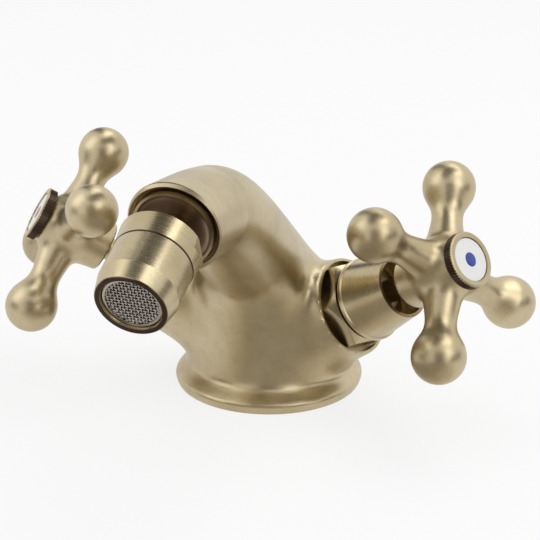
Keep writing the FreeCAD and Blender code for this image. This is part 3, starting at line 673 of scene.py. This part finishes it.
def make_screen():
    """Plain-woven wire cloth."""
    low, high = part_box("aerator_screen")
    middle = (Vector(low) + Vector(high)) / 2 / MM
    level = (NOZZLE.inverted() @ middle).z
    points = []
    faces = []
    count = int(SCREEN_R / SCREEN_PITCH)
    for along_x in (True, False):
        for row in range(-count, count + 1):
            add_wire(points, faces, row, along_x, level)
    screen = make_object("woven_screen", points, faces)
    repair = bmesh.new()
    repair.from_mesh(screen.data)
    bmesh.ops.recalc_face_normals(repair, faces=repair.faces)
    repair.to_mesh(screen.data)
    repair.free()
    to_metres(screen)
    shade(screen, 60)
    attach(screen, "nozzle")
    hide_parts("aerator_screen")
    return screen


# ---------------------------------------------------------------- materials

class Shader:
    """A Principled material with short calls for the nodes used here."""

    def __init__(self, name, colour, metallic, roughness):
        self.material = bpy.data.materials.new(name)
        self.material.use_nodes = True
        self.nodes = self.material.node_tree.nodes
        self.links = self.material.node_tree.links
        self.main = self.nodes["Principled BSDF"]
        self.main.inputs["Base Color"].default_value = (*colour, 1)
        self.main.inputs["Metallic"].default_value = metallic
        self.main.inputs["Roughness"].default_value = roughness

    def link(self, source, target):
        self.links.new(source, target)

    def math(self, operation, a, b=None, clamp=False):
        node = self.nodes.new("ShaderNodeMath")
        node.operation = operation
        node.use_clamp = clamp
        for socket, value in zip(node.inputs, (a, b)):
            if value is None:
                continue
            if isinstance(value, (int, float)):
                socket.default_value = value
            else:
                self.link(value, socket)
        return node.outputs[0]

    def place(self, matrix):
        """Object coordinates in millimetres, turned into a local frame."""
        coords = self.nodes.new("ShaderNodeTexCoord")
        mapping = self.nodes.new("ShaderNodeMapping")
        inverse = matrix.inverted()
        mapping.inputs["Location"].default_value = inverse.translation
        mapping.inputs["Rotation"].default_value = inverse.to_euler()
        mapping.inputs["Scale"].default_value = (1 / MM, 1 / MM, 1 / MM)
        self.link(coords.outputs["Object"], mapping.inputs["Vector"])
        split = self.nodes.new("ShaderNodeSeparateXYZ")
        self.link(mapping.outputs[0], split.inputs[0])
        return split.outputs

    def combine(self, x, y, z):
        node = self.nodes.new("ShaderNodeCombineXYZ")
        for socket, value in zip(node.inputs, (x, y, z)):
            self.link(value, socket)
        return node.outputs[0]

    def noise(self, vector, scale, detail, rough):
        node = self.nodes.new("ShaderNodeTexNoise")
        node.inputs["Scale"].default_value = scale
        node.inputs["Detail"].default_value = detail
        node.inputs["Roughness"].default_value = rough
        self.link(vector, node.inputs["Vector"])
        return node.outputs["Fac"]

    def ramp(self, value, low, high, to_low=0.0, to_high=1.0):
        node = self.nodes.new("ShaderNodeMapRange")
        node.inputs["From Min"].default_value = low
        node.inputs["From Max"].default_value = high
        node.inputs["To Min"].default_value = to_low
        node.inputs["To Max"].default_value = to_high
        node.interpolation_type = "SMOOTHSTEP"
        self.link(value, node.inputs["Value"])
        return node.outputs[0]

    def mix(self, share, a, b):
        node = self.nodes.new("ShaderNodeMix")
        node.data_type = "RGBA"
        self.link(share, node.inputs[0])
        for socket, value in ((node.inputs[6], a), (node.inputs[7], b)):
            if isinstance(value, tuple):
                socket.default_value = (*value, 1)
            else:
                self.link(value, socket)
        return node.outputs[2]

    def colour(self, value):
        self.link(value, self.main.inputs["Base Color"])

    def rough(self, value):
        self.link(value, self.main.inputs["Roughness"])

    def bump(self, height, strength, distance):
        node = self.nodes.new("ShaderNodeBump")
        node.inputs["Strength"].default_value = strength
        node.inputs["Distance"].default_value = distance
        self.link(height, node.inputs["Height"])
        self.link(node.outputs[0], self.main.inputs["Normal"])


LIGHT_BRASS = (0.60, 0.51, 0.335)
MID_BRASS = (0.43, 0.35, 0.205)
DARK_BRASS = (0.18, 0.13, 0.08)
# painted shade: umber for the recesses inside the mouth and for the adaptor's dish
RECESS_SHADE = (0.26, 0.185, 0.135)
# dark brown of the bands: a seam's joint, the knurl, and painted shade at the nozzle's end
BAND_AND_SHADE_BROWN = (0.08, 0.055, 0.042)
ENAMEL = {"cold": ("blue_enamel", (0.03, 0.06, 0.33)), "hot": ("red_enamel", (0.42, 0.03, 0.03))}

BODY_BRUSH_TILT = -12    # degrees, of the lines on the body
LINES_PER_MM = 14.0      # noise scale across the brush lines
LEVEL_SHARE = 0.7        # level lines are this much coarser
LINES_ALONG = {"arms": 0.25, "round": 2.0, "level": 0.12}     # noise scale along the lines
LINE_SHARE = 0.3         # of the fine lines in the tone; broad clouds make the rest
LINE_DEPTH = 0.00002     # metres, as for every bump
BROAD_SCALE = 0.055
MOTTLE_SCALE = 0.4
PATINA_SHARE = 0.12
SPOT_SCALE = 3.0
SPOT_SHADE = 0.82
GRAIN_DEPTH = 0.00004


def radius_of(shader, x, y):
    square = shader.math("ADD", shader.math("MULTIPLY", x, x), shader.math("MULTIPLY", y, y))
    return shader.math("SQRT", square)


def shade_and_bands(shader, colour, recesses, bands):
    """Colour with painted shade in umber inside a radius and above a height of a frame, and dark brown in
    bands of height: a seam, a knurl, and painted shade at a nozzle's end.
    """
    for matrix, reach, height in recesses:
        x, y, z = shader.place(matrix)
        inside = shader.ramp(radius_of(shader, x, y), reach - 0.15, reach + 0.15, 1.0, 0.0)
        share = shader.math("MULTIPLY", inside, shader.ramp(z, height - 0.1, height + 0.1))
        colour = shader.mix(share, colour, RECESS_SHADE)
    for matrix, height, half in bands:
        z = shader.place(matrix)[2]
        off = shader.math("ABSOLUTE", shader.math("SUBTRACT", z, height))
        colour = shader.mix(shader.ramp(off, half, half + 0.12, 1.0, 0.0), colour, BAND_AND_SHADE_BROWN)
    return colour


def brush_place(shader, direction, x, y, z):
    """Place that runs fast across the brush lines and slowly along them."""
    slow = LINES_ALONG[direction]
    if direction == "arms":
        reach = shader.math("MAXIMUM", shader.math("ABSOLUTE", x), shader.math("ABSOLUTE", y))
        return shader.combine(
            shader.math("MULTIPLY", reach, LINES_PER_MM),
            shader.math("MULTIPLY", z, slow),
            shader.math("MULTIPLY", shader.math("MINIMUM", x, y), slow))
    if direction == "round":
        radius = radius_of(shader, x, y)
        safe = shader.math("MAXIMUM", radius, 0.01)
        return shader.combine(
            shader.math("MULTIPLY", shader.math("DIVIDE", x, safe), slow),
            shader.math("MULTIPLY", shader.math("DIVIDE", y, safe), slow),
            shader.math("MULTIPLY", shader.math("ADD", z, radius), LINES_PER_MM))
    return shader.combine(
        shader.math("MULTIPLY", x, slow),
        shader.math("MULTIPLY", y, slow),
        shader.math("MULTIPLY", z, LEVEL_SHARE * LINES_PER_MM))


def brushed_brass(name, matrix, direction, roughness, dark=0.0, recesses=(), bands=()):
    """Antique brass with fine brush lines.

    direction is "round" for lines round the local Z axis, "arms" for lines round the arms of a cross,
    and "level" for lines that run across the local Z axis.
    """
    shader = Shader(name, MID_BRASS, 1.0, roughness)
    x, y, z = shader.place(matrix)
    lines = shader.noise(brush_place(shader, direction, x, y, z), 1.0, 3.0, 0.65)
    broad = shader.noise(shader.combine(x, y, z), BROAD_SCALE, 2.0, 0.5)
    mottled = shader.noise(shader.combine(x, y, z), MOTTLE_SCALE, 3.0, 0.6)
    fine_tone = shader.math("MULTIPLY", lines, LINE_SHARE)
    broad_tone = shader.math("MULTIPLY", broad, 1 - LINE_SHARE)
    tone = shader.ramp(shader.math("ADD", fine_tone, broad_tone), 0.25, 0.75)
    colour = shader.mix(tone, MID_BRASS, LIGHT_BRASS)
    patina_and_shade = shader.math("MULTIPLY", shader.ramp(mottled, 0.45, 0.75), PATINA_SHARE)
    # painted shade: dark pulls a part that sits in shade towards DARK_BRASS, on top of the patina
    if dark:
        patina_and_shade = shader.math("ADD", patina_and_shade, dark, True)
    colour = shader.mix(patina_and_shade, colour, DARK_BRASS)
    shader.colour(shade_and_bands(shader, colour, recesses, bands))
    shader.rough(shader.ramp(lines, 0.2, 0.8, roughness - 0.04, roughness + 0.06))
    shader.bump(lines, 0.10, LINE_DEPTH)
    return shader.material


def plain(name, colour, metallic, roughness, grain=0.0):
    """Finish with a slightly uneven tone, and a grain where one is given."""
    shader = Shader(name, colour, metallic, roughness)
    x, y, z = shader.place(Matrix.Identity(4))
    spots = shader.noise(shader.combine(x, y, z), SPOT_SCALE, 3.0, 0.6)
    darker = tuple(SPOT_SHADE * c for c in colour)
    shader.colour(shader.mix(spots, colour, darker))
    if grain:
        shader.bump(spots, grain, GRAIN_DEPTH)
    return shader.material


def dress(node, material):
    target = frame["nodes"][node] if isinstance(node, str) else node
    target.data.materials.clear()
    target.data.materials.append(material)


def dress_body(body):
    # painted shade: the mouth's bevel, seat and bore are turned umber
    recesses = [
        (MOUTH, MOUTH_SEAT_R + 0.9, -0.5),
        (MOUTH, MOUTH_SEAT_R + 0.2, -MOUTH_SEAT_DEPTH - 0.3),
        (MOUTH, MOUTH_THREAD_R + 0.3, -MOUTH_THREAD_DEPTH - 0.3),
    ]
    tilt = Matrix.Rotation(math.radians(BODY_BRUSH_TILT), 4, "X")
    dress(body, brushed_brass("antique_brass_body", tilt, "level", 0.33, recesses=recesses))


def dress_valve(name, handle, mark):
    valve = VALVES[name]
    knurl = (valve, CAP_TOP_S - KNURL_SINK, KNURL_HALF)
    dress(name + "_shroud", brushed_brass(name + "_turned_brass", valve, "round", 0.27))
    dress(name + "_bonnet", brushed_brass(name + "_collar_brass", valve, "level", 0.22))
    dress(handle, brushed_brass(name + "_handle_brass", cross_frame(name), "arms", 0.35))
    dress(name + "_index_cap", brushed_brass(name + "_cap_brass", valve, "round", 0.33, bands=[knurl]))
    enamel, colour = ENAMEL[name]
    dress(mark, plain(enamel, colour, 0.0, 0.2))


def dress_outlet(screen):
    seam = (NOZZLE, SEAM_AT, SEAM_HALF)
    # painted shade: a dark band at the nozzle's end; the seam is a dark joint
    nozzle_end_shade = (NOZZLE, NOZZLE_END_AT, NOZZLE_END_HALF)
    # painted shade: the adaptor's dish inside the mouth is turned umber
    dish_shade = (MOUTH, MOUTH_SEAT_R - 1.15, -MOUTH_THREAD_DEPTH)
    dress("nozzle_housing", brushed_brass("nozzle_brass", NOZZLE, "round", 0.27, bands=[seam, nozzle_end_shade]))
    dress("swivel_collar", brushed_brass("collar_brass", NOZZLE, "round", 0.26, bands=[seam]))
    dress("spout_adaptor", brushed_brass("adaptor_brass", MOUTH, "round", 0.3, recesses=[dish_shade]))
    # painted shade: the ball stem deep in the mouth is darkened
    dress("ball_stem", brushed_brass("stem_brass", MOUTH, "round", 0.3, dark=0.7))
    dress("aerator_ring", plain("bright_ring", (0.75, 0.74, 0.70), 1.0, 0.18))
    dress(screen, plain("screen_wire", (0.66, 0.61, 0.58), 1.0, 0.34))
    dress("ball_seat", plain("acetal", (0.7, 0.7, 0.69), 0.0, 0.45))
    dress("aerator_core", plain("dark_acetal", (0.015, 0.013, 0.012), 0.0, 0.6))


def dress_shared():
    """Finishes that several pieces share; pieces of a valve are named without cold_ or hot_."""
    for finish, valve_parts, other_parts in (
        (plain("stainless_steel", (0.52, 0.51, 0.50), 1.0, 0.3),
         ("spindle_clip", "handle_screw"), ("stem_clip",)),
        (plain("black_rubber", (0.02, 0.02, 0.02), 0.0, 0.7, grain=0.4),
         ("cartridge_ring", "seat_seal", "spindle_ring"),
         ("adaptor_washer", "nozzle_washer", "stem_ring", "base_gasket")),
        (plain("lapped_ceramic", (0.8, 0.79, 0.75), 0.0, 0.35),
         ("fixed_disc", "moving_disc"), ()),
        (plain("white_porcelain", (0.86, 0.86, 0.84), 0.0, 0.08),
         ("index_button",), ()),
        (plain("bare_brass", (0.6, 0.47, 0.22), 1.0, 0.35),
         ("cartridge_housing", "spindle"), ()),
    ):
        for part in valve_parts:
            for name in VALVES:
                dress(name + "_" + part, finish)
        for part in other_parts:
            dress(part, finish)


# ---------------------------------------------------------------- stage, light and camera, in metres

MIDDLE = (0, -0.02, 0.05)
MOUTH_FRONT = (0, -0.10, 0.055)
FLOOR_HALF = 3.0
FLOOR_GREY = 0.86
FLOOR_GLOW = 0.8         # share of plain white where the floor is background
WORLD_LEVEL = 0.55       # of the white world as a light
CARD_TINT = (1, 0.93, 0.82)
APRON_IN_R = 0.031
APRON_OUT_R = 0.9


def background_share(nodes, links):
    """1 for rays that see the background directly, in a mirror-like surface or through glass."""
    path = nodes.new("ShaderNodeLightPath")
    seen = nodes.new("ShaderNodeMath")
    seen.operation = "MAXIMUM"
    links.new(path.outputs["Is Camera Ray"], seen.inputs[0])
    links.new(path.outputs["Is Glossy Ray"], seen.inputs[1])
    both = nodes.new("ShaderNodeMath")
    both.operation = "MAXIMUM"
    links.new(seen.outputs[0], both.inputs[0])
    links.new(path.outputs["Is Transmission Ray"], both.inputs[1])
    return both.outputs[0]


def make_floor():
    floor = make_rectangle("floor", FLOOR_HALF, FLOOR_HALF)
    material = bpy.data.materials.new("pale_floor")
    material.use_nodes = True
    nodes = material.node_tree.nodes
    links = material.node_tree.links
    nodes.clear()
    output = nodes.new("ShaderNodeOutputMaterial")
    diffuse = nodes.new("ShaderNodeBsdfDiffuse")
    diffuse.inputs["Color"].default_value = (FLOOR_GREY, FLOOR_GREY, FLOOR_GREY, 1)
    glow = nodes.new("ShaderNodeEmission")
    glow.inputs["Strength"].default_value = 1.0
    share = nodes.new("ShaderNodeMath")
    share.operation = "MULTIPLY"
    share.inputs[1].default_value = FLOOR_GLOW
    links.new(background_share(nodes, links), share.inputs[0])
    mix = nodes.new("ShaderNodeMixShader")
    links.new(share.outputs[0], mix.inputs[0])
    links.new(diffuse.outputs[0], mix.inputs[1])
    links.new(glow.outputs[0], mix.inputs[2])
    links.new(mix.outputs[0], output.inputs[0])
    floor.data.materials.append(material)


def make_world():
    world = bpy.data.worlds.new("studio")
    bpy.context.scene.world = world
    world.use_nodes = True
    nodes = world.node_tree.nodes
    links = world.node_tree.links
    background = nodes["Background"]
    background.inputs["Color"].default_value = (1, 1, 1, 1)
    level = nodes.new("ShaderNodeMapRange")
    level.inputs["To Min"].default_value = WORLD_LEVEL
    level.inputs["To Max"].default_value = 1.0
    links.new(background_share(nodes, links), level.inputs["Value"])
    links.new(level.outputs[0], background.inputs["Strength"])


def aim(thing, place, target):
    thing.location = place
    thing.rotation_euler = (Vector(target) - Vector(place)).to_track_quat("-Z", "Y").to_euler()


def add_light(name, place, size, power):
    data = bpy.data.lights.new(name, "AREA")
    data.shape = "RECTANGLE"
    data.size, data.size_y = size
    data.energy = power
    light = bpy.data.objects.new(name, data)
    bpy.context.scene.collection.objects.link(light)
    aim(light, place, MIDDLE)


def make_card(card, level):
    """Turns a surface into a dark card of the studio, which only mirror-like surfaces see."""
    card.visible_camera = False
    card.visible_diffuse = False
    card.visible_shadow = False
    card.visible_transmission = False
    material = bpy.data.materials.new(card.name)
    material.use_nodes = True
    nodes = material.node_tree.nodes
    nodes.clear()
    output = nodes.new("ShaderNodeOutputMaterial")
    glow = nodes.new("ShaderNodeEmission")
    glow.inputs["Color"].default_value = (*(tint * level for tint in CARD_TINT), 1)
    material.node_tree.links.new(glow.outputs[0], output.inputs[0])
    card.data.materials.append(material)


def add_flag(name, place, size, level, target=MIDDLE):
    card = make_rectangle(name, size[0] / 2, size[1] / 2)
    aim(card, place, target)
    make_card(card, level)


def add_apron(name, height, begin, end, level):
    """Card just above the floor, round the base between two angles in degrees."""
    steps = 24
    points = []
    for radius in (APRON_IN_R, APRON_OUT_R):
        for i in range(steps + 1):
            angle = math.radians(begin + (end - begin) * i / steps)
            points.append((radius * math.cos(angle), radius * math.sin(angle), height))
    faces = [(i, i + 1, steps + 2 + i, steps + 1 + i) for i in range(steps)]
    make_card(make_object(name, points, faces), level)


def make_camera():
    azimuth = math.radians(CAMERA_AZIMUTH)
    elevation = math.radians(CAMERA_ELEVATION)
    roll = math.radians(CAMERA_ROLL)
    flat = math.cos(elevation)
    back = Vector((math.sin(azimuth) * flat, -math.cos(azimuth) * flat, math.sin(elevation)))
    level = Vector((math.cos(azimuth), math.sin(azimuth), 0))
    rise = back.cross(level)
    right = math.cos(roll) * level + math.sin(roll) * rise
    up = -math.sin(roll) * level + math.cos(roll) * rise
    data = bpy.data.cameras.new("camera")
    data.sensor_width = SENSOR_MM
    data.lens = FOCAL_PIXELS / PHOTO_PIXELS * SENSOR_MM
    data.clip_start = 0.01
    camera = bpy.data.objects.new("camera", data)
    bpy.context.scene.collection.objects.link(camera)
    matrix = Matrix((right, up, back)).transposed().to_4x4()
    matrix.translation = MM * (CAMERA_RIGHT * level + CAMERA_UP * rise + CAMERA_DISTANCE * back)
    camera.matrix_world = matrix
    bpy.context.scene.camera = camera


# ---------------------------------------------------------------- scene

bpy.context.scene.view_settings.view_transform = "Standard"
make_camera()
make_floor()
make_world()
add_light("key_left", (-0.75, -0.35, 0.75), (0.7, 0.9), 1.6)
add_light("fill_right", (0.85, -0.45, 0.55), (0.5, 0.9), 2.2)
add_light("top", (0.22, 0.27, 0.95), (1.1, 0.6), 4.2)
add_flag("flag_front", (0.28, -0.85, 0.36), (0.60, 0.86), 0.17)
add_flag("flag_right", (0.90, -0.10, 0.10), (0.9, 0.45), 0.12)
add_flag("flag_left", (-0.80, -0.55, 0.10), (0.6, 0.40), 0.12)
add_flag("flag_back", (-0.35, 0.45, 0.55), (0.22, 0.8), 0.03)
add_flag("flag_top", (0.022, -0.045, 0.26), (0.13, 0.26), 0.06, target=MOUTH_FRONT)
add_apron("apron_wide", 0.002, 236, 336, 0.76)
add_apron("apron_mid", 0.003, 247, 325, 0.57)
add_apron("apron_close", 0.004, 258, 314, 0.38)

body_piece = make_body()
handle_pieces = {name: make_handle(name) for name in VALVES}
mark_pieces = {name: make_mark(name) for name in VALVES}
screen_piece = make_screen()

dress_body(body_piece)
for valve_name in VALVES:
    dress_valve(valve_name, handle_pieces[valve_name], mark_pieces[valve_name])
dress_outlet(screen_piece)
dress_shared()
